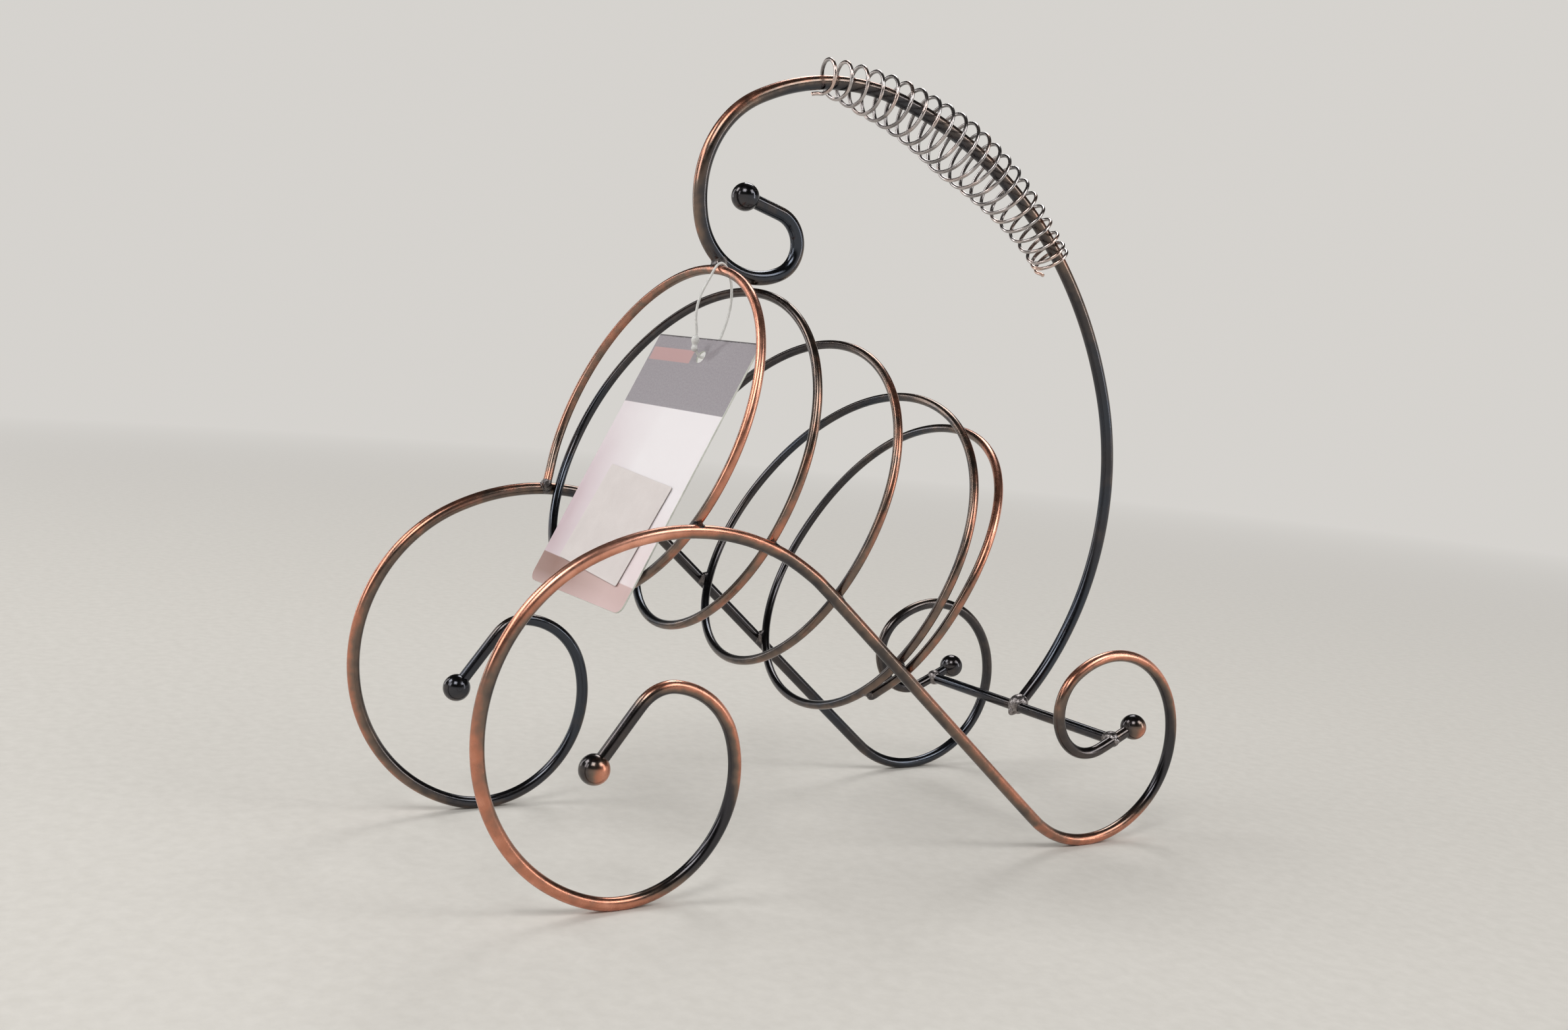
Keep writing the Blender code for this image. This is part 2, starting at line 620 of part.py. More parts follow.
def build():
    clear_scene()
    parts = new_collection("wine_rack")
    cutters = new_collection("cutters", hidden=True)
    copper = material("antique_copper", (0.42, 0.24, 0.18), 0.28, 1.0)
    dark = material("dark_plate", (0.10, 0.10, 0.11), 0.25, 1.0)
    steel = material("spring_steel", (0.42, 0.39, 0.38), 0.25, 1.0)
    bead_metal = material("weld_metal", (0.35, 0.33, 0.33), 0.35, 1.0)
    card = material("tag_card", (0.80, 0.72, 0.73), 0.60, 0.0)
    paper = material("sticker_paper", (0.78, 0.74, 0.75), 0.55, 0.0)
    nylon = material("nylon", (0.85, 0.84, 0.82), 0.40, 0.0)

    # Routes, from the start of the side frames
    stretches, frame_low = frame_stretches()
    frame_flat, frame_end, frame_heading = flat_route((0, 0), FRONT_SPOKE_RISE_DEG, stretches, FRAME_STEP_DEG)
    bar_place = np.array(frame_end) - direction(frame_heading) * (BAR_FROM_BALL - ball_reach())
    handle_stretches = list(zip(HANDLE_RADII, HANDLE_TURNS_DEG)) + [(HANDLE_END - ball_reach(),)]
    handle_start = tuple(bar_place + direction(HANDLE_FOOT_RISE_DEG) * (BAR_WIRE / 2 + GAP))
    handle_flat, _, handle_heading = flat_route(
        handle_start, HANDLE_FOOT_RISE_DEG, handle_stretches, HANDLE_STEP_DEG
    )
    frame_flat = np.array(frame_flat)
    handle = in_space(handle_flat, 0)
    first_places = [share * BASKET_HALF_LENGTH for share in BASKET_PLACE_SHARES]
    centre = basket_centre(first_places, handle_start, handle_stretches)
    widths = level_widths()
    for _ in range(SETTLING_ROUNDS):
        places = basket_places(centre, list(first_places), widths)
        widths = basket_widths(centre, places, frame_flat)
    start_u, start_away = basket_start(centre, places, frame_flat)
    touch = (FRAME_WIRE + BASKET_WIRE) / 2 + GAP
    widths[0] = (FRAME_SPACING / 2 - math.sqrt(touch**2 - start_away**2)) / math.cos(math.pi * start_u)
    count = math.ceil((BASKET_HALF_TURNS - start_u) / 2 * BASKET_POINTS_PER_TURN)
    u = np.linspace(start_u, BASKET_HALF_TURNS, count + 1)
    basket = basket_route(u, centre, places, widths)
    grip = grip_route(handle_start, handle_stretches)
    print("basket half widths in mm", np.round(widths * 1000, 1))

    # Everything is moved so that the rack stands on the table with its middle at the origin
    low_y = frame_flat[:, 0].min() - FRAME_WIRE / 2
    high_y = handle[:, 1].max() + HANDLE_WIRE / 2
    rest = FRAME_WIRE / 2 * math.cos(math.pi / wire_sides(WIRE_BEVEL_STEPS))
    shift = np.array([-(low_y + high_y) / 2, rest - frame_low])
    move = np.array([0, *shift])
    frame_flat = frame_flat + shift
    bar_place = bar_place + shift
    handle, basket, grip = handle + move, basket + move, grip + move

    # Side frames and their balls
    first_out = -direction(FRONT_SPOKE_RISE_DEG)
    last_out = direction(frame_heading)
    frames = {}
    for side, sign in (("right", 1), ("left", -1)):
        route = in_space(frame_flat, sign * FRAME_SPACING / 2)
        frames[side] = route
        wire(side + "_side_frame", route, FRAME_WIRE, copper, WIRE_BEVEL_STEPS, parts)
        for place, end, out in (("front", route[0], first_out), ("rear", route[-1], last_out)):
            name = side + "_" + place + "_ball"
            seated_ball(name, end, (0, *out), FRAME_WIRE, dark, parts, cutters)

    # Cross bar
    bar_reach = (FRAME_SPACING - FRAME_WIRE) / 2 - GAP
    bar = in_space([bar_place, bar_place], 0)
    bar[:, 0] = (-bar_reach, bar_reach)
    wire("rear_cross_bar", bar, BAR_WIRE, dark, WIRE_BEVEL_STEPS, parts)

    # Handle, its ball and its grip
    wire("handle_wire", handle, HANDLE_WIRE, dark, WIRE_BEVEL_STEPS, parts)
    handle_out = (0, *direction(handle_heading))
    seated_ball("handle_ball", handle[-1], handle_out, HANDLE_WIRE, dark, parts, cutters)
    wire("grip_spring", grip, GRIP_WIRE, steel, SPRING_BEVEL_STEPS, parts)

    # Basket
    wire("basket_wire", basket, BASKET_WIRE, dark, WIRE_BEVEL_STEPS, parts)

    # Welds
    across = np.array([1, 0, 0])
    spoke = np.array([0, *direction(frame_heading)])
    middle = np.array([0, *bar_place])
    for side, sign in (("right", 1), ("left", -1)):
        joint = middle + across * sign * FRAME_SPACING / 2
        ends = [(middle + across * sign * bar_reach, across, BAR_WIRE), (joint, spoke, FRAME_WIRE)]
        weld(side + "_bar_weld", ends, bead_metal, parts, cutters)
    foot = np.array([0, *direction(HANDLE_FOOT_RISE_DEG)])
    ends = [(handle[0], foot, HANDLE_WIRE), (middle, across, BAR_WIRE)]
    weld("handle_foot_weld", ends, bead_metal, parts, cutters)
    _, on_basket, on_handle = nearest(basket[np.abs(u - FIRST_TOP_SHARE) < CONTACT_REACH_SHARE], handle)
    ends = [(*on_basket, BASKET_WIRE), (*on_handle, HANDLE_WIRE)]
    weld("handle_top_weld", ends, bead_metal, parts, cutters)

    # The basket's start is welded to the left frame beside the wire's first crossing there
    crossings = {}
    for number in range(1, math.floor(BASKET_HALF_TURNS)):
        near = basket[np.abs(u - number) < CONTACT_REACH_SHARE]
        _, on_basket, on_frame = nearest(near, frames["right" if number % 2 else "left"])
        crossings[number] = [(*on_basket, BASKET_WIRE), (*on_frame, FRAME_WIRE)]
    _, on_basket, on_frame = nearest(basket[:2], frames["left"])
    first_crossing = crossings.pop(2)
    ends = [(*on_basket, BASKET_WIRE), (*on_frame, FRAME_WIRE), first_crossing[0]]
    weld("basket_start_weld", ends, bead_metal, parts, cutters)
    for number, ends in crossings.items():
        side = "right" if number % 2 else "left"
        weld(f"basket_weld_{side}_{(number + 1) // 2}", ends, bead_metal, parts, cutters)
    last = basket[u > BASKET_HALF_TURNS - CONTACT_REACH_SHARE]
    loop_before = basket[np.abs(u - BASKET_HALF_TURNS + 2) < CONTACT_REACH_SHARE]
    _, on_end, on_loop = nearest(last, loop_before)
    ends = [(*on_end, BASKET_WIRE), (*on_loop, BASKET_WIRE)]
    weld("basket_end_weld", ends, bead_metal, parts, cutters)

    # Hang tag
    hinge_u = FIRST_TOP_SHARE + math.asin(TAG_SIDE / widths[0]) / math.pi
    hinge = basket_route(np.array([hinge_u]), centre, places, widths)[0] + move
    lower_turn = thicken(basket[(u > 1) & (u < 2)], MEASURE_SPACING)
    swing = tag_rest(hinge, lower_turn)
    hole, turn = tag_frame(swing)
    pivot = bpy.data.objects.new("tag_swing", None)
    pivot.location = hinge
    parts.objects.link(pivot)
    print("tag hinge in mm", np.round(hinge * 1000, 2))
    print(f"tag leans {swing:.2f} degrees past its fastener's set lean")

    outlines = [card_outline(), circle_outline(TAG_HOLE / 2, TAG_HOLE_STEPS)]
    tag = sheet("hang_tag", outlines, TAG_THICKNESS, card, parts)
    tag.parent = pivot
    tag.matrix_basis = Matrix.Translation(hole) @ turn.to_4x4()

    half, rise = STICKER_WIDTH / 2, STICKER_LENGTH / 2
    corners = [(-half, -rise), (half, -rise), (half, rise), (-half, rise)]
    sticker = sheet("tag_sticker", [corners], STICKER_THICKNESS, paper, parts)
    sticker.parent = pivot
    face = (TAG_THICKNESS + STICKER_THICKNESS) / 2 + GAP
    on_card = Matrix.Translation((STICKER_SIDE, -STICKER_BELOW_HOLE, face))
    on_card = on_card @ Matrix.Rotation(-math.radians(STICKER_TURN_DEG), 4, "Z")
    sticker.matrix_basis = tag.matrix_basis @ on_card

    plane = Matrix.Rotation(-math.radians(FASTENER_LEAN_DEG + swing), 4, "X")
    loop = np.array([plane @ Vector((0, y, z)) for y, z in fastener_route()])
    fastener = wire("tag_fastener", loop, FASTENER_WIRE, nylon, SPRING_BEVEL_STEPS, parts)
    fastener.data.splines[0].use_cyclic_u = True
    fastener.parent = pivot
    lock_low = FASTENER_HALF_WIDTH - FASTENER_DROP
    lock_place = plane @ Vector((0, -FASTENER_HALF_WIDTH, lock_low + LOCK_LENGTH / 2))
    lock = mesh_object("tag_fastener_lock", rod(LOCK_DIAMETER / 2, LOCK_LENGTH), nylon, parts)
    lock.data.set_sharp_from_angle(angle=math.radians(SHARP_DEG))
    lock.parent = pivot
    lock.matrix_basis = Matrix.Translation(lock_place) @ plane
    bore = rod_cutter("lock_bore", (0, 0, 0), (0, 0, 1), FASTENER_WIRE / 2 + GAP, 2 * LOCK_LENGTH, cutters)
    bore.parent = pivot
    bore.matrix_basis = lock.matrix_basis
    cut(lock, bore)

    basket_gap = own_gap(basket, BASKET_WIRE, BASKET_POINTS_PER_TURN // 2)
    grip_gap = own_gap(grip, GRIP_WIRE, GRIP_POINTS_PER_TURN // 2)
    print(f"least gap of the basket wire to itself {basket_gap * 1000:.2f} mm")
    print(f"least gap of the grip spring to itself {grip_gap * 1000:.2f} mm")


build()
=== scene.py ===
"""Looks of the tabletop wine rack: plated wires, fused weld beads and a printed card on a nylon loop.

Each wire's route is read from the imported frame, so every piece stays where the solid model has it.
"""

import json
import math

import bmesh
import bpy
import numpy as np
from mathutils import Matrix, Vector


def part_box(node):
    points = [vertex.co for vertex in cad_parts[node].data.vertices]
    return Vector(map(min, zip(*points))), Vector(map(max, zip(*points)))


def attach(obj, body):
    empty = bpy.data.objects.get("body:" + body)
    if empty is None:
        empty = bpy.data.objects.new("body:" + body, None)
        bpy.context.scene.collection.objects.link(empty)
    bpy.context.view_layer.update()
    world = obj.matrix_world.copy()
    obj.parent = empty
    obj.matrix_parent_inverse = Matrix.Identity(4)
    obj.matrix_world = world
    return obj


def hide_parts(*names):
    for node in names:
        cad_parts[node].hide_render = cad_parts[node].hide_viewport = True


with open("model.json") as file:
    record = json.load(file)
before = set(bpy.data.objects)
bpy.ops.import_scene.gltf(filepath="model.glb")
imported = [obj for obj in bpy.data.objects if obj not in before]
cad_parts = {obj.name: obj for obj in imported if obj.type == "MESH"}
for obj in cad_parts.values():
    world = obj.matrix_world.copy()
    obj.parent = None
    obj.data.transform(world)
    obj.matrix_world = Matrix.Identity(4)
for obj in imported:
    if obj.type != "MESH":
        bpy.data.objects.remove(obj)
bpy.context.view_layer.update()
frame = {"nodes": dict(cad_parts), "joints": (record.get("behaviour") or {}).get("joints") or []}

MM = 0.001

# Sizes of the wires and the balls, as in the solid model, and how many sides its tubes have
FRAME_WIRE = 0.0038
BASKET_WIRE = 0.0028
HANDLE_WIRE = 0.0044
BAR_WIRE = 0.0038
GRIP_WIRE = 0.0012
BALL_DIAMETER = 0.0086
TUBE_SIDES = 8
SPRING_SIDES = 6

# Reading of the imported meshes: what counts as one vertex, one plane, one way, crosswise and round
MERGE_DISTANCE = 1e-6
SAME_PLANE = 0.99999
SAME_WAY = 0.999
CROSSWISE = 0.1
ROUND_RATIO = 1.05

# Fineness of the swept wires, and of the curve that their routes are smoothed with
WIRE_STEP = 0.0009
SPRING_STEP = 0.0004
WIRE_RING = 28
SPRING_RING = 14
END_CHAMFER = 0.00015
WIRE_SHARP_DEG = 40
CURVE_FEWEST = 4
CURVE_PER_STEP = 2

# The least slant from X at which a route's cross direction is taken from X, and what keeps a divisor above 0
LEAST_SLANT = 0.3
TINY = 1e-9

# Fineness of the balls, as subdivisions of an icosphere
BALL_FINENESS = 5

# Spans that a noise texture mostly stays within, and two plain slopes
NOISE_SPAN = (0.3, 0.7)
NOISE_CORE = (0.35, 0.65)
RISING = (0.0, 1.0)
FALLING = (1.0, 0.0)

# Colours of the plate from its patina to bright copper, of the spring and of the beads
PLATE_STOPS = (
    (0.0, (0.066, 0.063, 0.067)),
    (0.20, (0.108, 0.092, 0.086)),
    (0.40, (0.22, 0.160, 0.128)),
    (0.62, (0.57, 0.240, 0.155)),
    (1.0, (1.0, 0.485, 0.345)),
)
SMOKE_TINT = (0.060, 0.058, 0.063, 1)
BLUE_TINT = (0.060, 0.067, 0.081, 1)
STEEL_STOPS = ((0.0, (0.20, 0.19, 0.19)), (0.45, (0.52, 0.48, 0.47)), (1.0, (0.82, 0.52, 0.40)))
BEAD_STOPS = ((0.30, (0.10, 0.09, 0.09)), (0.48, (0.24, 0.215, 0.21)), (0.70, (0.42, 0.385, 0.38)))
PLATED_BEAD_STOPS = ((0.30, (0.05, 0.047, 0.05)), (0.48, (0.11, 0.10, 0.10)), (0.70, (0.24, 0.21, 0.20)))

# Each wire's node, and the node at the wire's start
WIRE_STARTS = (
    ("right_side_frame", "right_front_ball"),
    ("left_side_frame", "left_front_ball"),
    ("rear_cross_bar", "left_bar_weld"),
    ("handle_wire", "handle_foot_weld"),
    ("basket_wire", "basket_start_weld"),
)

# How far each wire is rubbed: a share of its length from the start, and a level from dark to bright copper
RIGHT_TONES = (
    (0.0, -0.1), (0.026, -0.02), (0.045, 0.52), (0.07, 0.5), (0.10, 0.4), (0.115, 0.15), (0.125, -0.15),
    (0.14, -0.15), (0.155, 0.28), (0.19, 0.56), (0.25, 0.6), (0.29, 0.46), (0.315, 0.22), (0.345, 0.44),
    (0.37, 0.78), (0.41, 0.84), (0.44, 0.52), (0.47, 0.34), (0.55, 0.30), (0.62, 0.36), (0.66, 0.40),
    (0.71, 0.46), (0.735, 0.54), (0.77, 0.42), (0.785, 0.1), (0.80, -0.1), (0.815, 0.1), (0.83, 0.34),
    (0.85, 0.42), (0.87, 0.66), (0.90, 0.55), (0.925, 0.25), (0.945, 0.0), (0.97, 0.06), (1.0, 0.04),
)
LEFT_TONES = (
    (0.0, 0.02), (0.05, 0.06), (0.1, 0.1), (0.15, 0.06), (0.2, 0.2), (0.23, 0.34), (0.27, 0.4),
    (0.32, 0.4), (0.36, 0.5), (0.39, 0.52), (0.43, 0.36), (0.48, 0.24), (0.55, 0.1), (0.62, 0.02),
    (0.72, 0.04), (0.8, 0.12), (0.86, 0.14), (0.92, 0.06), (1.0, 0.0),
)
BAR_TONES = ((0.0, 0.06), (1.0, 0.06))
HANDLE_TONES = (
    (0.0, -0.05), (0.08, 0.0), (0.15, 0.02), (0.3, 0.08), (0.36, 0.22), (0.4, 0.40), (0.43, 0.36),
    (0.55, 0.24), (0.61, 0.14), (0.66, 0.2), (0.70, 0.36), (0.75, 0.36), (0.79, 0.2), (0.82, 0.02),
    (0.86, 0.0), (0.92, 0.02), (0.95, 0.1), (1.0, 0.12),
)
BASKET_TONES = (
    (0.0, 0.42), (0.02, 0.56), (0.05, 0.58), (0.07, 0.5), (0.085, 0.68), (0.11, 0.64), (0.13, 0.38),
    (0.145, 0.2), (0.165, 0.14), (0.185, 0.10), (0.2, 0.04), (0.22, 0.12), (0.25, 0.2), (0.27, 0.24),
    (0.29, 0.2), (0.31, 0.3), (0.33, 0.32), (0.35, 0.24), (0.375, 0.14), (0.395, 0.04), (0.42, 0.08),
    (0.45, 0.14), (0.48, 0.2), (0.5, 0.42), (0.52, 0.34), (0.54, 0.2), (0.57, 0.14), (0.59, 0.06),
    (0.61, 0.04), (0.65, 0.1), (0.69, 0.28), (0.72, 0.36), (0.74, 0.26), (0.76, 0.12), (0.78, 0.14),
    (0.81, 0.1), (0.83, 0.04), (0.87, 0.12), (0.91, 0.26), (0.93, 0.62), (0.95, 0.62), (0.965, 0.36),
    (0.98, 0.2), (1.0, 0.14),
)
GRIP_TONES = ((0.0, 0.55), (0.08, 0.45), (0.2, 0.3), (0.8, 0.3), (0.92, 0.42), (1.0, 0.5))

# Each wire's node, piece, width, finish and levels, then which side of it is rubbed more, by how much
# there, and by how much on the outside of its bends. GRIP_RUB holds the last three for the grip's spring.
WIRES = (
    ("right_side_frame", "right_frame_wire", FRAME_WIRE, "copper", RIGHT_TONES, (0.3, 0.5, 0.8), 0.22, 0.26),
    ("left_side_frame", "left_frame_wire", FRAME_WIRE, "dark", LEFT_TONES, (-1, 0, 0), 0.08, 0.2),
    ("rear_cross_bar", "cross_bar_wire", BAR_WIRE, "dark", BAR_TONES, (0, 0, -1), 0.06, 0.0),
    ("handle_wire", "handle_rod", HANDLE_WIRE, "dark", HANDLE_TONES, (0, 0, 1), 0.04, 0.32),
    ("basket_wire", "basket_coil", BASKET_WIRE, "dark", BASKET_TONES, (0.7, 0, -0.7), 0.06, 0.18),
)
GRIP_RUB = ((0, 0, 1), 0.18, 0.1)

# The balls of each finish, their level, and how much more they are rubbed on one side
BALLS = (
    (("right_front_ball", "right_rear_ball"), "copper", 0.08, 0.62, (0.85, 0.4, -0.2)),
    (("left_front_ball", "left_rear_ball", "handle_ball"), "dark", 0.05, 0.14, (0, 0, -1)),
)

# Each bead's node, the two wires that it joins, and its swelling
WELDS = (
    ("right_bar_weld", "rear_cross_bar", "right_side_frame", 1.3),
    ("left_bar_weld", "rear_cross_bar", "left_side_frame", 1.3),
    ("handle_foot_weld", "handle_wire", "rear_cross_bar", 1.5),
    ("handle_top_weld", "basket_wire", "handle_wire", 0.95),
    ("basket_start_weld", "basket_wire", "left_side_frame", 1.0),
    ("basket_weld_right_1", "basket_wire", "right_side_frame", 1.0),
    ("basket_weld_right_2", "basket_wire", "right_side_frame", 1.0),
    ("basket_weld_right_3", "basket_wire", "right_side_frame", 1.0),
    ("basket_weld_right_4", "basket_wire", "right_side_frame", 1.0),
    ("basket_weld_left_2", "basket_wire", "left_side_frame", 1.0),
    ("basket_weld_left_3", "basket_wire", "left_side_frame", 1.0),
    ("basket_weld_left_4", "basket_wire", "left_side_frame", 1.0),
)
END_WELD_SWELLING = 0.8

# How many of the basket route's last points lie on the strand that is fused at its end
END_POINTS = 40

# A bead's swellings and the lump between them, as shares of the wires' diameters
WELD_PULL = 0.12
SWELLING_RADIUS = 0.53
SWELLING_LENGTH = 0.95
LUMP_RADIUS = 0.56
LUMP_LENGTH = 0.62
BEAD_FINENESS = 4
BEAD_VOXEL = 0.00016
BEAD_SOFTNESS = 0.5
BEAD_SOFTENINGS = 5

# The card's print, in mm from its lower left corner
CARD_LENGTH_MM = 86.5
BAND_LOW_MM = 62.5
PRINT_EDGE_MM = 0.1
ROSE_ACROSS_MM = (2.0, 26.0)
ROSE_UP_MM = (30.0, 58.0)
BLUSH_CORNER_MM = (48.0, 62.0)
BLUSH_SLOPE = 0.8
BLUSH_UP_MM = (18.0, 34.0)
FOOT_ACROSS_MM = (10.0, 44.0)
FOOT_EDGE_MM = (0.0, 4.0)
FOOT_TOP_MM = (9.6, 9.9)
FOOT_SLOPE = 0.03
PATCH_MIDDLE_MM = (13.0, 79.8)
PATCH_HALF_MM = (12.0, 2.2)
PATCH_EDGE_MM = (-0.12, 0.12)
WORN_UP_MM = (CARD_LENGTH_MM - 0.9, CARD_LENGTH_MM - 0.1)
WORN_CHIPS = (0.53, 0.57)

# Colours of the print
CARD_GREY = (0.27, 0.245, 0.27, 1)
CARD_GREY_PALE = (0.33, 0.30, 0.325, 1)
CARD_PALE = (0.86, 0.82, 0.84, 1)
CARD_ROSE = (0.60, 0.47, 0.51, 1)
CARD_BLUSH = (0.74, 0.56, 0.56, 1)
CARD_FOOT = (0.29, 0.155, 0.125, 1)
CARD_FOOT_PALE = (0.60, 0.42, 0.40, 1)
CARD_WORN = (0.06, 0.05, 0.055, 1)
CARD_PATCH_ROSE = (0.50, 0.30, 0.295, 1)

# Colours of the bare board, of its cut edge, of the label and of the nylon, shaded to pale
BOARD_COLOURS = ((0.70, 0.68, 0.66), (0.80, 0.78, 0.76))
CUT_COLOURS = ((0.60, 0.62, 0.57), (0.82, 0.83, 0.78))
PAPER_COLOURS = ((0.69, 0.635, 0.62), (0.75, 0.695, 0.68))
NYLON_COLOURS = ((0.72, 0.72, 0.70), (0.88, 0.88, 0.86))

# The card's hole, from the middle of its top edge, the round corners, the softened edges, and how
# straight a face of the flat sides looks out of them
HOLE_SIDE = 0.0013
HOLE_BELOW = 0.0063
HOLE_DIAMETER = 0.004
HOLE_POINTS = 32
CARD_CORNERS = (0.0030, 0.0007)
LABEL_CORNERS = (0.0006, 0.0006)
CORNER_STEPS = 8
CARD_EDGE = 0.00012
EDGE_SHARE = 1 / 3
CARD_EDGE_STEPS = 2
CARD_SHARP_DEG = 30
FACING = 0.9

# The nylon loop beside the hinge, in mm: how far up, and how far to the front
LOOP_MM = (
    (2.1, 0.0), (1.5, 1.4), (-3.5, 3.4), (-9.5, 5.1), (-15.0, 5.0), (-19.5, 3.6), (-23.0, 3.1),
    (-25.4, 2.0), (-26.5, 0.5), (-26.1, -0.9), (-21.5, -4.2), (-16.0, -5.5), (-9.5, -5.9),
    (-3.5, -4.6), (1.1, -1.9),
)
NYLON_DIAMETER = 0.0008
NYLON_RING = 12
NYLON_STEP = 0.0003

# The lock's top below the hinge, the loop's points on each side of it, and its profile, in mm: how far
# down the strand, and how far out from it
LOCK_TOP_MM = 20.6
LOCK_ABOVE = LOOP_MM[5]
LOCK_BELOW = LOOP_MM[6]
LOCK_PROFILE_MM = (
    (0.0, 0.42), (0.2, 0.80), (0.7, 1.10), (1.3, 1.25), (1.9, 1.20), (2.4, 0.95), (2.8, 0.80),
    (3.2, 0.85), (3.6, 1.05), (4.0, 1.10), (4.5, 0.80), (4.9, 0.45),
)
LOCK_TURN_STEPS = 28

# Camera, at the photograph's viewing angle
LENS_MM = 35.9
SENSOR_MM = 36
CLIP_START = 0.01
AZIMUTH_DEG = 55.8
ELEVATION_DEG = 5.94
ROLL_DEG = 5.13
TARGET = (0, -0.0108, 0.1027)
DISTANCE = 0.4952

# Light: the backdrop and how it darkens upwards, then each lamp's place, size and power
BACKDROP = (0.67, 0.65, 0.62, 1)
SWEEP_HEIGHTS = (0.10, 0.36)
CEILING = 0.05
SKY_LIGHT = 0.38
LAMPS = (
    ((-0.1, -1.35, 0.75), (0.6, 0.6), 4.2),
    ((-0.6, -1.1, 1.25), (0.6, 0.6), 6.0),
    ((0.75, -0.75, 1.35), (0.6, 0.6), 6.5),
    ((1.0, 0.7, 1.2), (0.6, 0.6), 5.0),
    ((-0.9, 0.75, 1.3), (0.6, 0.6), 6.0),
    ((-1.3, -0.75, 0.55), (0.16, 1.0), 2.2),
    ((0.95, 1.1, 0.55), (0.16, 1.0), 3.0),
)
LAMP_AIM = (0, 0, 0.1)

# Floor, and how far out it fades into the backdrop
FLOOR_RADIUS = 9.0
FLOOR_SIDES = 96
FLOOR_FADE = (0.4, 1.6)
FLOOR_LOW = (0.67, 0.645, 0.60)
FLOOR_HIGH = (0.72, 0.695, 0.65)


# Node materials


class Tree:
    """A node tree, with short calls for its nodes."""

    def __init__(self, tree):
        self.nodes = tree.nodes
        self.links = tree.links

    def node(self, kind, **settings):
        made = self.nodes.new(kind)
        for key, value in settings.items():
            setattr(made, key, value)
        return made

    def put(self, socket, value):
        if isinstance(value, bpy.types.NodeSocket):
            self.links.new(value, socket)
        else:
            socket.default_value = value

    def put_all(self, made, **values):
        """Puts each value on the node's input of that name, written with _ for a space."""
        for name, value in values.items():
            self.put(made.inputs[name.replace("_", " ")], value)

    def math(self, operation, first, second=0.0, clamp=False):
        made = self.node("ShaderNodeMath", operation=operation, use_clamp=clamp)
        self.put(made.inputs[0], first)
        self.put(made.inputs[1], second)
        return made.outputs[0]

    def spread(self, value, span, reach, **settings):
        """The value with its span mapped onto a reach, and held at both ends."""
        made = self.node("ShaderNodeMapRange", **settings)
        self.put_all(made, Value=value, From_Min=span[0], From_Max=span[1], To_Min=reach[0], To_Max=reach[1])
        return made.outputs["Result"]


class Shader(Tree):
    """A material, with short calls for the patterns used here."""

    def __init__(self, name):
        self.material = bpy.data.materials.new(name)
        self.material.use_nodes = True
        super().__init__(self.material.node_tree)
        self.surface = self.nodes["Principled BSDF"]

    def set(self, **values):
        self.put_all(self.surface, **values)

    def place(self):
        return self.node("ShaderNodeTexCoord").outputs["Object"]

    def print_place(self):
        return self.node("ShaderNodeTexCoord").outputs["UV"]

    def buff(self):
        """How far the wire is rubbed here."""
        return self.node("ShaderNodeAttribute", attribute_name="buff").outputs["Fac"]

    def noise(self, vector, scale, detail=3.0, roughness=0.55):
        made = self.node("ShaderNodeTexNoise")
        self.put_all(made, Vector=vector, Scale=scale, Detail=detail, Roughness=roughness)
        return made.outputs["Fac"]

    def vary(self, noise, low, high):
        """The noise's usual span mapped onto low to high."""
        return self.spread(noise, NOISE_SPAN, (low, high))

    def ramp(self, value, stops):
        made = self.node("ShaderNodeValToRGB")
        self.put(made.inputs["Fac"], value)
        elements = made.color_ramp.elements
        while len(elements) < len(stops):
            elements.new(1.0)
        for element, (position, colour) in zip(elements, stops):
            element.position = position
            element.color = (*colour, 1)
        return made.outputs["Color"]

    def mix(self, share, first, second):
        made = self.node("ShaderNodeMix", data_type="RGBA")
        self.put_all(made, Factor=share, A=first, B=second)
        return made.outputs["Result"]

    def bump(self, height, distance, strength):
        made = self.node("ShaderNodeBump")
        self.put_all(made, Height=height, Distance=distance, Strength=strength)
        self.put(self.surface.inputs["Normal"], made.outputs["Normal"])


def plated(name, dark_tint):
    """Copper plate under a dark patina, rubbed through where the wire's buff attribute is high."""
    shader = Shader(name)
    place = shader.place()
    patches = shader.vary(shader.noise(place, scale=70.0), -0.10, 0.10)
    mottle = shader.vary(shader.noise(place, scale=280.0, detail=2.0), -0.05, 0.05)
    worn = shader.math("ADD", shader.math("ADD", shader.buff(), patches), mottle, clamp=True)
    tint = shader.spread(shader.noise(place, scale=26.0, detail=1.0), (0.46, 0.62), RISING)
    tint = shader.math("MULTIPLY", tint, shader.spread(worn, (0.04, 0.26), FALLING))
    grain = shader.vary(shader.noise(place, scale=450.0, detail=1.0), -0.02, 0.04)
    rough = shader.spread(worn, (0.1, 0.7), (0.17, 0.27))
    shader.set(
        Base_Color=shader.mix(tint, shader.ramp(worn, PLATE_STOPS), dark_tint),
        Metallic=1.0,
        Roughness=shader.math("ADD", rough, grain),
    )
    shader.bump(shader.noise(place, scale=90.0, detail=1.0), distance=0.00004, strength=0.1)
    return shader.material


def bright_steel():
    """Drawn spring wire, with copper tints where it was plated with the rack."""
    shader = Shader("spring_steel")
    place = shader.place()
    tints = shader.spread(shader.noise(place, scale=110.0, detail=2.0), NOISE_CORE, (-0.22, 0.22))
    worn = shader.math("ADD", shader.buff(), tints, clamp=True)
    grain = shader.noise(place, scale=800.0, detail=1.0)
    shader.set(
        Base_Color=shader.ramp(worn, STEEL_STOPS),
        Metallic=1.0,
        Roughness=shader.vary(grain, 0.15, 0.24),
    )
    shader.bump(grain, distance=0.00001, strength=0.2)
    return shader.material


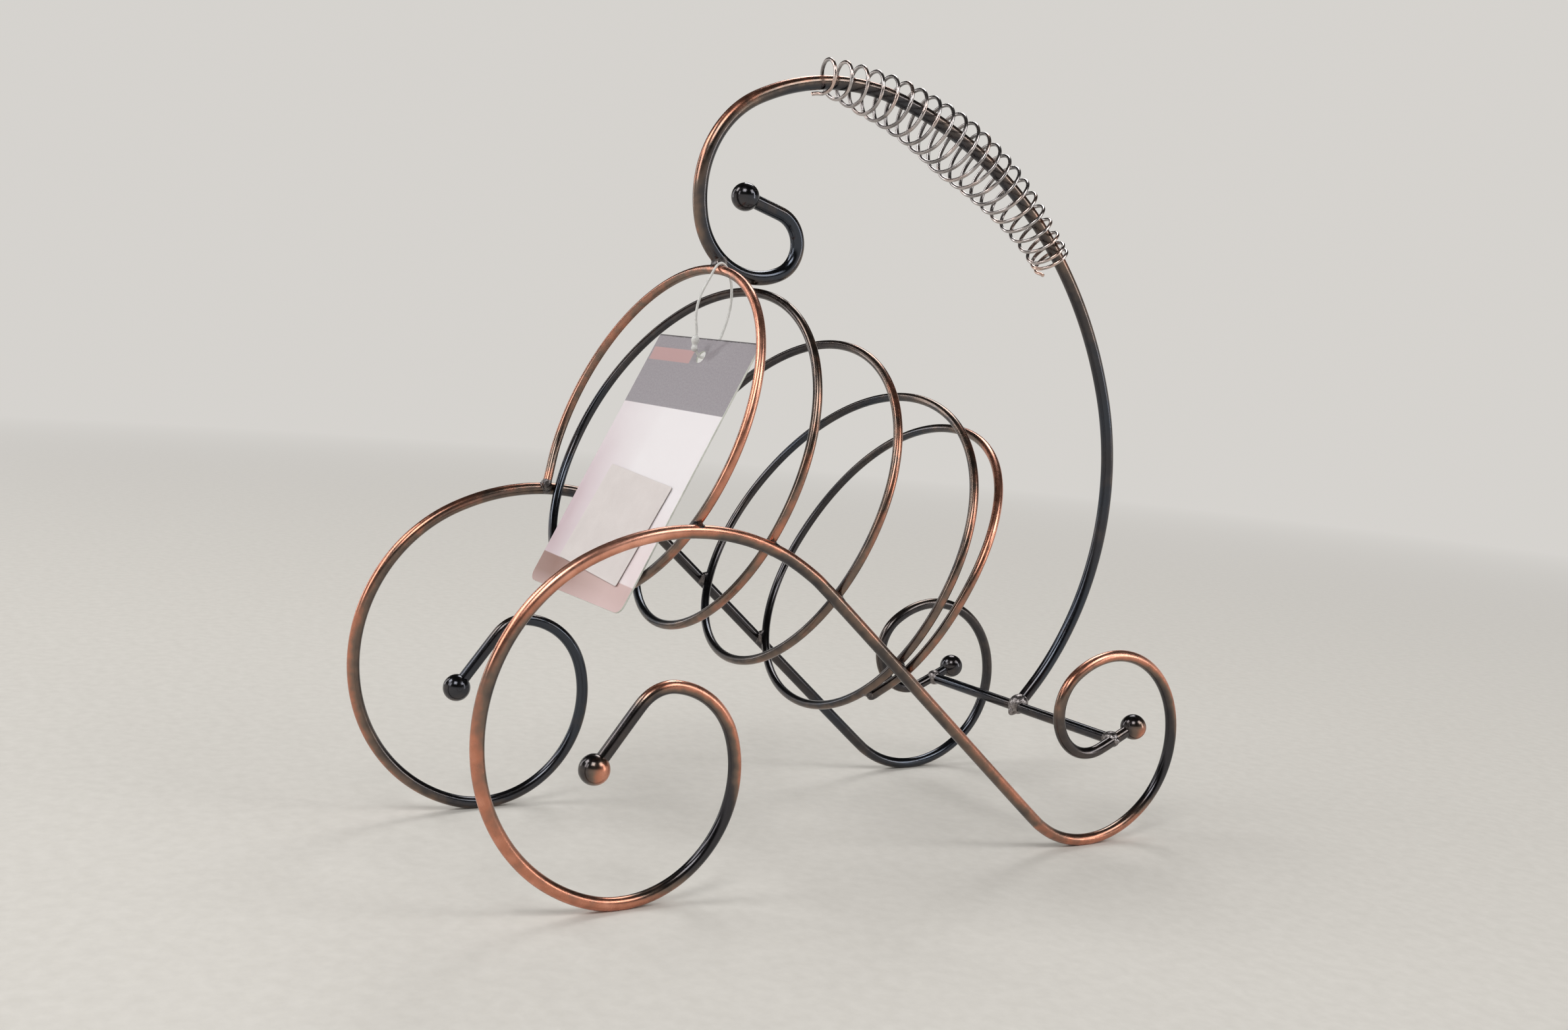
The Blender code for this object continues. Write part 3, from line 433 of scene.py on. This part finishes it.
def bead_metal(name, stops):
    """Fused bead: rippled, darker in its hollows."""
    shader = Shader(name)
    place = shader.place()
    lumps = shader.noise(place, scale=700.0, roughness=0.6)
    fine = shader.noise(place, scale=3500.0)
    shader.set(Base_Color=shader.ramp(lumps, stops), Metallic=1.0, Roughness=shader.vary(fine, 0.18, 0.40))
    ripples = shader.math("ADD", lumps, shader.math("MULTIPLY", fine, 0.2))
    shader.bump(ripples, distance=0.0003, strength=0.7)
    return shader.material


def card_body(shader, place, across, up):
    """The pale body, tinged with rose to the left and with a blush in its lower right corner."""
    wobble = shader.spread(shader.noise(place, scale=0.06, detail=2.0), (0.0, 1.0), (-0.2, 0.2))
    rosy = shader.math("ADD", shader.spread(across, ROSE_ACROSS_MM, FALLING), wobble, clamp=True)
    rosy = shader.math("MULTIPLY", rosy, shader.spread(up, ROSE_UP_MM, (1.0, 0.35)))
    body = shader.mix(rosy, CARD_PALE, CARD_ROSE)
    slanted = shader.math("ADD", across, shader.math("MULTIPLY", up, BLUSH_SLOPE))
    blush = shader.spread(slanted, BLUSH_CORNER_MM, RISING)
    blush = shader.math("MULTIPLY", blush, shader.spread(up, BLUSH_UP_MM, (0.5, 0.0)))
    return shader.mix(blush, body, CARD_BLUSH)


def card_foot(shader, across, up):
    """The rose brown foot, paler to the right and along its lower edge."""
    foot = shader.mix(shader.spread(across, FOOT_ACROSS_MM, RISING), CARD_FOOT, CARD_FOOT_PALE)
    return shader.mix(shader.spread(up, FOOT_EDGE_MM, (0.35, 0.0)), foot, CARD_BLUSH)


def card_band(shader, place, across, up):
    """The speckled grey band with its rose patch."""
    speckle = shader.spread(shader.noise(place, scale=1.6, detail=4.0), NOISE_CORE, RISING)
    band = shader.mix(speckle, CARD_GREY, CARD_GREY_PALE)
    beyond = []
    for value, middle, half in zip((across, up), PATCH_MIDDLE_MM, PATCH_HALF_MM):
        off = shader.math("ABSOLUTE", shader.math("SUBTRACT", value, middle))
        beyond.append(shader.math("SUBTRACT", off, half))
    inside = shader.spread(shader.math("MAXIMUM", *beyond), PATCH_EDGE_MM, FALLING)
    return shader.mix(inside, band, CARD_PATCH_ROSE)


def printed_card():
    """The card's printed front: a grey band above, a pale body tinged with rose, a rose brown foot."""
    shader = Shader("tag_card")
    place = shader.print_place()
    split = shader.node("ShaderNodeSeparateXYZ")
    shader.put(split.inputs[0], place)
    across, up = split.outputs[0], split.outputs[1]
    slanted = shader.math("ADD", up, shader.math("MULTIPLY", across, FOOT_SLOPE))
    in_foot = shader.spread(slanted, FOOT_TOP_MM, FALLING)
    in_band = shader.spread(up, (BAND_LOW_MM - PRINT_EDGE_MM, BAND_LOW_MM + PRINT_EDGE_MM), RISING)
    colour = shader.mix(in_foot, card_body(shader, place, across, up), card_foot(shader, across, up))
    colour = shader.mix(in_band, colour, card_band(shader, place, across, up))
    chips = shader.noise(place, scale=2.2, detail=5.0, roughness=0.7)
    near_top = shader.spread(up, WORN_UP_MM, (-0.25, 0.3))
    worn = shader.spread(shader.math("ADD", chips, near_top), WORN_CHIPS, RISING)
    shader.set(
        Base_Color=shader.mix(worn, colour, CARD_WORN),
        Roughness=shader.vary(chips, 0.34, 0.46),
        Coat_Weight=0.25,
        Coat_Roughness=0.3,
    )
    fibres = shader.noise(place, scale=3.0, detail=6.0, roughness=0.6)
    shader.bump(fibres, distance=0.00004, strength=0.35)
    return shader.material


def plain_card(name, colours):
    """Bare board or paper: fibrous, faintly mottled."""
    shader = Shader(name)
    place = shader.place()
    fibres = shader.noise(place, scale=2500.0, detail=6.0, roughness=0.65)
    mottle = shader.noise(place, scale=160.0)
    share = shader.math("MULTIPLY", shader.math("ADD", fibres, mottle), 0.5)
    colour = shader.ramp(share, list(zip(NOISE_CORE, colours)))
    shader.set(Base_Color=colour, Roughness=shader.vary(fibres, 0.55, 0.75))
    shader.bump(fibres, distance=0.00004, strength=0.4)
    return shader.material


def nylon():
    """Clear drawn nylon, slightly milky."""
    shader = Shader("nylon")
    milky = shader.noise(shader.place(), scale=400.0)
    shader.set(
        Base_Color=shader.ramp(milky, list(zip(NOISE_SPAN, NYLON_COLOURS))),
        Roughness=shader.vary(milky, 0.18, 0.34),
        Transmission_Weight=0.15,
        IOR=1.53,
    )
    shader.bump(milky, distance=0.00005, strength=0.4)
    return shader.material


# Routes read from the frame


def middle_of(node):
    low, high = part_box(node)
    return (Vector(low) + Vector(high)) / 2


def open_mesh(node):
    made = bmesh.new()
    made.from_mesh(frame["nodes"][node].data)
    bmesh.ops.remove_doubles(made, verts=made.verts, dist=MERGE_DISTANCE)
    return made


def flat_patch(face):
    """A face and the faces that join it in its plane."""
    patch = {face}
    queue = [face]
    while queue:
        for edge in queue.pop().edges:
            for other in edge.link_faces:
                if other not in patch and other.normal.dot(face.normal) > SAME_PLANE:
                    patch.add(other)
                    queue.append(other)
    return patch


def end_ring(made, sides):
    """The vertices of one flat end: those of a flat patch that has the given number of them in a circle."""
    seen_faces = set()
    for face in made.faces:
        if face in seen_faces:
            continue
        patch = flat_patch(face)
        seen_faces |= patch
        ring = {vert for one in patch for vert in one.verts}
        middle = sum((vert.co for vert in ring), Vector()) / len(ring)
        reach = [(vert.co - middle).length for vert in ring]
        if len(ring) == sides and max(reach) < ROUND_RATIO * min(reach):
            return ring
    raise ValueError("no flat end")


def ring_centres(node, sides):
    """The middles of a tube's rings, in order from one end."""
    made = open_mesh(node)
    ring = end_ring(made, sides)
    done = set(ring)
    centres = []
    while ring:
        centres.append(np.mean([vert.co[:] for vert in ring], axis=0))
        ring = {edge.other_vert(vert) for vert in ring for edge in vert.link_edges} - done
        done |= ring
    made.free()
    return np.array(centres)


def run_lengths(points):
    return np.linalg.norm(np.diff(points, axis=0), axis=1)


def between(first, second, start, end, at):
    """The point that moves from the first to the second as the time goes from start to end."""
    return (first * (end - at) + second * (at - start)) / (end - start)


def smooth_route(points, step):
    """Evenly spaced points on a smooth curve through the given ones."""
    padded = np.vstack([2 * points[0] - points[1], points, 2 * points[-1] - points[-2]])
    knots = np.concatenate([[0], np.cumsum(run_lengths(padded) ** 0.5)])
    fine = []
    for index in range(1, len(padded) - 2):
        corners = padded[index - 1 : index + 3]
        times = knots[index - 1 : index + 3]
        length = np.linalg.norm(corners[2] - corners[1])
        count = max(CURVE_FEWEST, math.ceil(length / step * CURVE_PER_STEP))
        at = np.linspace(times[1], times[2], count, endpoint=False)[:, None]
        runs = [between(*corners[low : low + 2], times[low], times[low + 1], at) for low in range(3)]
        bends = [between(*runs[low : low + 2], times[low], times[low + 2], at) for low in range(2)]
        fine.append(between(*bends, times[1], times[2], at))
    fine = np.vstack(fine + [points[-1:]])
    places = np.concatenate([[0], np.cumsum(run_lengths(fine))])
    even = np.linspace(0, places[-1], round(places[-1] / step) + 1)
    return np.column_stack([np.interp(even, places, fine[:, axis]) for axis in range(3)])


def from_node(route, node):
    """The route, turned round if need be so that it starts at the end nearer a node."""
    place = np.array(middle_of(node))
    near_start = np.linalg.norm(route[0] - place) < np.linalg.norm(route[-1] - place)
    return route if near_start else route[::-1]


def directions(route):
    runs = np.gradient(route, axis=0)
    return runs / np.linalg.norm(runs, axis=1)[:, None]


def frames_along(route):
    """Two cross directions at each point, turning as little as possible along the route."""
    along = directions(route)
    start = np.cross(along[0], (1, 0, 0))
    if np.linalg.norm(start) < LEAST_SLANT:
        start = np.cross(along[0], (0, 0, 1))
    first = [start / np.linalg.norm(start)]
    for run in along[1:]:
        turned = first[-1] - run * (first[-1] @ run)
        first.append(turned / np.linalg.norm(turned))
    first = np.array(first)
    return first, np.cross(along, first)


def bend_outward(route):
    """The direction away from each bend's centre, shorter where the bend is slack."""
    bend = -np.gradient(directions(route), axis=0)
    strength = np.linalg.norm(bend, axis=1)[:, None]
    typical = np.median(strength) + TINY
    return bend / (strength + TINY) * np.clip(strength / typical, 0, 1)


# Pieces made from meshes


def linked(name, data):
    """An object with that data, put in the scene."""
    obj = bpy.data.objects.new(name, data)
    bpy.context.scene.collection.objects.link(obj)
    return obj


def finished(name, mesh, mat, body, node):
    """An object from a mesh, on its body, standing for its node."""
    mesh.materials.append(mat)
    mesh.shade_smooth()
    obj = linked(name, mesh)
    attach(obj, body)
    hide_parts(node)
    return obj


def mesh_from(made, name):
    """A mesh from a bmesh, which is freed."""
    mesh = bpy.data.meshes.new(name)
    made.to_mesh(mesh)
    made.free()
    return mesh


def set_buff(mesh, values):
    """Keeps how far each vertex is rubbed, for the materials."""
    attribute = mesh.attributes.new("buff", "FLOAT", "POINT")
    attribute.data.foreach_set("value", np.clip(values, 0, 1).astype(np.float32).ravel())


def tube_faces(rings, sides):
    """The faces of a closed tube: a band between each two rings, and a flat cap on each end."""
    faces = []
    for low in range(0, (rings - 1) * sides, sides):
        for side in range(sides):
            after = (side + 1) % sides
            faces.append((low + side, low + after, low + sides + after, low + sides + side))
    last = (rings - 1) * sides
    return faces + [tuple(reversed(range(sides))), tuple(range(last, last + sides))]


def swept(name, route, diameter, sides, mat, body, node, tone=None):
    """A wire along a route, its ends cut square with a small chamfer, and rubbed by its tone."""
    along = directions(route)
    pick = [0, *range(len(route)), -1]
    centres = route[pick]
    centres[1] += along[0] * END_CHAMFER
    centres[-2] -= along[-1] * END_CHAMFER
    radius = np.full(len(pick), diameter / 2)
    radius[[0, -1]] -= END_CHAMFER
    first, second = (cross[pick][:, None] for cross in frames_along(route))
    angles = np.linspace(0, 2 * math.pi, sides, endpoint=False)[:, None]
    normals = first * np.cos(angles) + second * np.sin(angles)
    verts = (centres[:, None] + normals * radius[:, None, None]).reshape(-1, 3)
    mesh = bpy.data.meshes.new(name)
    mesh.from_pydata(verts.tolist(), [], tube_faces(len(pick), sides))
    if tone:
        shares = np.linspace(0, 1, len(route))[pick][:, None]
        set_buff(mesh, tone(shares, normals, bend_outward(route)[pick][:, None]))
    finished(name, mesh, mat, body, node)
    mesh.set_sharp_from_angle(angle=math.radians(WIRE_SHARP_DEG))


def toned(levels, side, side_share, bend_share):
    """How far the plate is rubbed at each point: a level along the wire, more on its outer sides."""
    places, heights = zip(*levels)

    def tone(shares, normals, outward):
        level = np.interp(shares, places, heights)
        return level + side_share * (normals @ np.array(side)) + bend_share * (normals * outward).sum(axis=-1)

    return tone


def ball(node, mat, level, rub, side):
    """A turned ball over its socketed solid, rubbed more on one side."""
    made = bmesh.new()
    bmesh.ops.create_icosphere(made, subdivisions=BALL_FINENESS, radius=BALL_DIAMETER / 2)
    mesh = mesh_from(made, node + "_turned")
    set_buff(mesh, [level + rub * max(0, vert.co.normalized().dot(Vector(side))) for vert in mesh.vertices])
    mesh.transform(Matrix.Translation(middle_of(node)))
    finished(node + "_turned", mesh, mat, "rack", node)


# Welds


def ellipsoid(made, centre, along, radius, length):
    found = bmesh.ops.create_icosphere(made, subdivisions=BEAD_FINENESS, radius=1.0)
    turn = Vector(along).to_track_quat("Z", "Y").to_matrix().to_4x4()
    place = Matrix.Translation(centre) @ turn @ Matrix.Diagonal((radius, radius, length, 1))
    bmesh.ops.transform(made, matrix=place, verts=found["verts"])


def nearest_on(route, centre):
    """The route's point nearest a place, and the route's direction there."""
    index = np.linalg.norm(route - np.array(centre), axis=1).argmin()
    return route[index], directions(route)[index]


def weld(node, wires, mat, size):
    """A fused bead where wires meet: swellings along each wire and a lump between, blended into one skin."""
    made = bmesh.new()
    places = [nearest_on(route, middle_of(node)) for route, _ in wires]
    middle = sum(place for place, _ in places) / len(places)
    mean = sum(diameter for _, diameter in wires) / len(wires)
    for (place, along), (_, diameter) in zip(places, wires):
        pulled = place + (middle - place) * WELD_PULL
        ellipsoid(made, pulled, along, diameter * SWELLING_RADIUS, diameter * SWELLING_LENGTH * size)
    ellipsoid(made, middle, places[0][1], mean * LUMP_RADIUS * size, mean * LUMP_LENGTH * size)
    obj = finished(node + "_bead", mesh_from(made, node + "_bead"), mat, "rack", node)
    blend = obj.modifiers.new("blend", "REMESH")
    blend.mode = "VOXEL"
    blend.voxel_size = BEAD_VOXEL
    blend.use_smooth_shade = True
    soften = obj.modifiers.new("soften", "SMOOTH")
    soften.factor = BEAD_SOFTNESS
    soften.iterations = BEAD_SOFTENINGS


# The hang tag


def plate_frame(node):
    """A flat node's middle, turned to its directions right, up and to the front, and its sizes along them."""
    mesh = frame["nodes"][node].data
    normals = np.array([face.normal[:] for face in mesh.polygons])
    areas = np.array([face.area for face in mesh.polygons])

    def main(chosen):
        """The normal of the chosen faces that the largest area shares."""
        alike = {index: np.abs(normals @ normals[index]) > SAME_WAY for index in chosen}
        return normals[max(alike, key=lambda index: areas[alike[index]].sum())]

    front = main(range(len(normals)))
    front = front * -np.sign(front[1])
    side = main(np.flatnonzero(np.abs(normals @ front) < CROSSWISE))
    other = np.cross(front, side)
    right_way = max(side, other, key=lambda way: abs(way[0]))
    right_way = right_way * np.sign(right_way[0])
    axes = np.array([right_way, np.cross(front, right_way), front])
    places = np.array([vert.co[:] for vert in mesh.vertices]) @ axes.T
    low, high = places.min(axis=0), places.max(axis=0)
    turn = Matrix([list(column) for column in axes.T])
    middle = turn @ Vector((low + high) / 2)
    return Matrix.Translation(middle) @ turn.to_4x4(), high - low


def arc(middle, radius, angles):
    """Points at some angles of a circle."""
    return [(middle[0] + radius * math.cos(angle), middle[1] + radius * math.sin(angle)) for angle in angles]


def rounded(width, length, low_corner, high_corner):
    """A rectangle about the origin, its lower and upper corners round by the given amounts."""
    points = []
    corners = ((1, -1, low_corner), (1, 1, high_corner), (-1, 1, high_corner), (-1, -1, low_corner))
    for quarter, (across, up, corner) in enumerate(corners, -1):
        middle = (across * (width / 2 - corner), up * (length / 2 - corner))
        points += arc(middle, corner, np.linspace(quarter, quarter + 1, CORNER_STEPS + 1) * math.pi / 2)
    return points


def hole_outline(length):
    """The punched hole of a card of that length."""
    angles = np.linspace(0, 2 * math.pi, HOLE_POINTS, endpoint=False)
    return arc((HOLE_SIDE, length / 2 - HOLE_BELOW), HOLE_DIAMETER / 2, angles)


def plate_mesh(name, outlines, thickness):
    """A plate about the origin with softened edges, drawn as a filled curve."""
    curve = bpy.data.curves.new(name, "CURVE")
    curve.dimensions = "2D"
    curve.fill_mode = "BOTH"
    edge = min(CARD_EDGE, thickness * EDGE_SHARE)
    curve.extrude = thickness / 2 - edge
    curve.bevel_depth = edge
    curve.bevel_resolution = CARD_EDGE_STEPS
    curve.offset = -edge
    for outline in outlines:
        spline = curve.splines.new("POLY")
        spline.points.add(len(outline) - 1)
        spline.use_cyclic_u = True
        for point, (across, up) in zip(spline.points, outline):
            point.co = (across, up, 0, 1)
    drawn = linked(name, curve)
    bpy.context.view_layer.update()
    mesh = bpy.data.meshes.new_from_object(drawn.evaluated_get(bpy.context.evaluated_depsgraph_get()))
    bpy.data.objects.remove(drawn)
    return mesh


def map_print(mesh, width, length):
    """Sets the plate's UV map to mm from its lower left corner."""
    for loop in mesh.loops:
        flat = mesh.vertices[loop.vertex_index].co
        mesh.uv_layers[0].data[loop.index].uv = ((flat.x + width / 2) / MM, (flat.y + length / 2) / MM)


def side_number(face):
    """0 for a face of the plate's front, 1 for the back and 2 for the edge."""
    if face.normal.z > FACING:
        return 0
    return 1 if face.normal.z < -FACING else 2


def flat_piece(name, node, corners, hole, mats):
    """A thin plate over a flat node, with round corners and softened edges."""
    place, (width, length, thickness) = plate_frame(node)
    outlines = [rounded(width, length, *corners)]
    if hole:
        outlines.append(hole_outline(length))
    mesh = plate_mesh(name, outlines, thickness)
    map_print(mesh, width, length)
    sides = [side_number(face) for face in mesh.polygons]
    mesh.transform(place)
    mesh.materials.clear()
    finished(name, mesh, mats[0], "tag", node)
    for mat in mats[1:]:
        mesh.materials.append(mat)
    for face, side in zip(mesh.polygons, sides):
        face.material_index = min(side, len(mats) - 1)
    mesh.set_sharp_from_angle(angle=math.radians(CARD_SHARP_DEG))


def loop_frame():
    """The hinge's place, and the directions up and to the front in the nylon loop's plane."""
    hinge = Vector(frame["joints"][0]["pos_m"])
    places = [vert.co for vert in frame["nodes"]["tag_fastener"].data.vertices]
    below = sum(places, Vector()) / len(places) - hinge
    up = Vector((0, -below.y, -below.z)).normalized()
    return hinge, up, Vector((0, -up.z, up.y))


def nylon_loop(mat):
    """The loop as one wire, whose ends meet at the list's first point."""
    hinge, up, front = loop_frame()
    points = np.array([hinge + (up * high + front * out) * MM for high, out in LOOP_MM])
    around = smooth_route(np.vstack([points[-1:], points, points[:2]]), NYLON_STEP)
    distances = np.linalg.norm(around - points[0], axis=1)
    half = len(around) // 2
    start = distances[: half // 2].argmin()
    end = half + distances[half:].argmin()
    swept("tag_loop", around[start : end + 1], NYLON_DIAMETER, NYLON_RING, mat, "tag", "tag_fastener")


def lock(mat):
    """The loop's moulded lock: a bulb and a barb, turned about the strand that it grips."""
    hinge, up, front = loop_frame()
    (high, out), (low, low_out) = LOCK_ABOVE, LOCK_BELOW
    along = (up * (low - high) + front * (low_out - out)).normalized()
    cross = along.orthogonal().normalized()
    top = hinge + (front * out - up * LOCK_TOP_MM) * MM
    made = bmesh.new()
    turned = [top + (along * down + cross * radius) * MM for down, radius in LOCK_PROFILE_MM]
    verts = [made.verts.new(point) for point in turned]
    outline = verts + [made.edges.new(pair) for pair in zip(verts, verts[1:])]
    bmesh.ops.spin(
        made,
        geom=outline,
        cent=top,
        axis=along,
        angle=2 * math.pi,
        steps=LOCK_TURN_STEPS,
        use_merge=True,
    )
    bmesh.ops.remove_doubles(made, verts=made.verts, dist=MERGE_DISTANCE)
    bmesh.ops.holes_fill(made, edges=[edge for edge in made.edges if edge.is_boundary])
    bmesh.ops.recalc_face_normals(made, faces=made.faces)
    obj = finished("tag_lock", mesh_from(made, "tag_lock"), mat, "tag", "tag_fastener_lock")
    smooth = obj.modifiers.new("round", "SUBSURF")
    smooth.levels = smooth.render_levels = 1


# The rack's pieces


FINISHES = {
    "copper": plated("antique_copper", SMOKE_TINT),
    "dark": plated("dark_copper", BLUE_TINT),
}
ROUTES = {
    node: from_node(smooth_route(ring_centres(node, TUBE_SIDES), WIRE_STEP), start)
    for node, start in WIRE_STARTS
}
for node, name, diameter, finish, levels, side, side_share, bend_share in WIRES:
    tone = toned(levels, side, side_share, bend_share)
    swept(name, ROUTES[node], diameter, WIRE_RING, FINISHES[finish], "rack", node, tone)

spring = smooth_route(ring_centres("grip_spring", SPRING_SIDES), SPRING_STEP)
grip_tone = toned(GRIP_TONES, *GRIP_RUB)
swept("grip_coil", spring, GRIP_WIRE, SPRING_RING, bright_steel(), "rack", "grip_spring", grip_tone)

for nodes, finish, level, rub, side in BALLS:
    for node in nodes:
        ball(node, FINISHES[finish], level, rub, side)

DIAMETERS = {node: diameter for node, _, diameter, *_ in WIRES}
bar_bead = bead_metal("weld_metal", BEAD_STOPS)
basket_bead = bead_metal("plated_weld_metal", PLATED_BEAD_STOPS)
for node, first, second, size in WELDS:
    bead = basket_bead if "basket_wire" in (first, second) else bar_bead
    weld(node, [(ROUTES[first], DIAMETERS[first]), (ROUTES[second], DIAMETERS[second])], bead, size)
coil = ROUTES["basket_wire"]
strands = [(coil[:-END_POINTS], BASKET_WIRE), (coil[-END_POINTS:], BASKET_WIRE)]
weld("basket_end_weld", strands, basket_bead, END_WELD_SWELLING)


# The tag's pieces


board = plain_card("card_back", BOARD_COLOURS)
cut_edge = plain_card("card_edge", CUT_COLOURS)
paper = plain_card("sticker_paper", PAPER_COLOURS)
nylon_mat = nylon()
flat_piece("tag_card", "hang_tag", CARD_CORNERS, True, (printed_card(), board, cut_edge))
flat_piece("tag_blank_label", "tag_sticker", LABEL_CORNERS, False, (paper,))
nylon_loop(nylon_mat)
lock(nylon_mat)


# Camera, light and floor


def camera():
    data = bpy.data.cameras.new("camera")
    data.lens = LENS_MM
    data.sensor_width = SENSOR_MM
    data.clip_start = CLIP_START
    obj = linked("camera", data)
    azimuth, elevation = math.radians(AZIMUTH_DEG), math.radians(ELEVATION_DEG)
    level = math.cos(elevation)
    back = Vector((math.sin(azimuth) * level, -math.cos(azimuth) * level, math.sin(elevation)))
    turn = back.to_track_quat("Z", "Y").to_matrix() @ Matrix.Rotation(math.radians(ROLL_DEG), 3, "Z")
    obj.matrix_world = Matrix.Translation(Vector(TARGET) + back * DISTANCE) @ turn.to_4x4()
    bpy.context.scene.camera = obj


def area_light(name, place, size, power):
    """A lamp that points to the middle of the object."""
    data = bpy.data.lights.new(name, "AREA")
    data.shape = "RECTANGLE"
    data.size, data.size_y = size
    data.energy = power
    obj = linked(name, data)
    obj.location = place
    obj.rotation_euler = (Vector(place) - Vector(LAMP_AIM)).to_track_quat("Z", "Y").to_euler()


def seen(tree):
    """1 for what the camera sees, straight or in metal and glass, and 0 for light that falls on things."""
    path = tree.node("ShaderNodeLightPath")
    total = path.outputs["Is Camera Ray"]
    for name in ("Is Glossy Ray", "Is Transmission Ray"):
        total = tree.math("ADD", total, path.outputs[name], clamp=True)
    return total


def studio():
    """The backdrop, which is darker above in what the metal mirrors, an even sky light, and the lamps."""
    world = bpy.data.worlds.new("studio")
    bpy.context.scene.world = world
    world.use_nodes = True
    sky = Tree(world.node_tree)
    split = sky.node("ShaderNodeSeparateXYZ")
    sky.put(split.inputs[0], sky.node("ShaderNodeTexCoord").outputs["Generated"])
    sweep = sky.spread(split.outputs["Z"], SWEEP_HEIGHTS, (1.0, CEILING), interpolation_type="SMOOTHSTEP")
    strength = sky.spread(seen(sky), (0.0, 1.0), (SKY_LIGHT, sweep))
    direct = sky.node("ShaderNodeLightPath").outputs["Is Camera Ray"]
    sky.put_all(sky.nodes["Background"], Color=BACKDROP, Strength=sky.math("MAXIMUM", direct, strength))
    for number, (place, size, power) in enumerate(LAMPS, 1):
        area_light("lamp_%d" % number, place, size, power)


def floor():
    """A pale floor, fading into the backdrop's tone far from the object."""
    made = bmesh.new()
    bmesh.ops.create_circle(made, cap_ends=True, segments=FLOOR_SIDES, radius=FLOOR_RADIUS)
    mesh = mesh_from(made, "floor")
    shader = Shader("floor")
    place = shader.place()
    fibres = shader.noise(place, scale=220.0, detail=4.0)
    colour = shader.ramp(fibres, list(zip(NOISE_SPAN, (FLOOR_LOW, FLOOR_HIGH))))
    shader.set(Base_Color=colour, Roughness=0.8)
    shader.bump(fibres, distance=0.0002, strength=0.1)
    far = shader.node("ShaderNodeVectorMath", operation="LENGTH")
    shader.put(far.inputs[0], place)
    fade = shader.math("MULTIPLY", shader.spread(far.outputs["Value"], FLOOR_FADE, RISING), seen(shader))
    glow = shader.node("ShaderNodeEmission")
    glow.inputs["Color"].default_value = BACKDROP
    both = shader.node("ShaderNodeMixShader")
    for socket, value in zip(both.inputs, (fade, shader.surface.outputs[0], glow.outputs[0])):
        shader.put(socket, value)
    shader.put(shader.nodes["Material Output"].inputs["Surface"], both.outputs[0])
    mesh.materials.append(shader.material)
    linked("floor", mesh)


camera()
studio()
floor()
bpy.context.scene.view_settings.view_transform = "Standard"
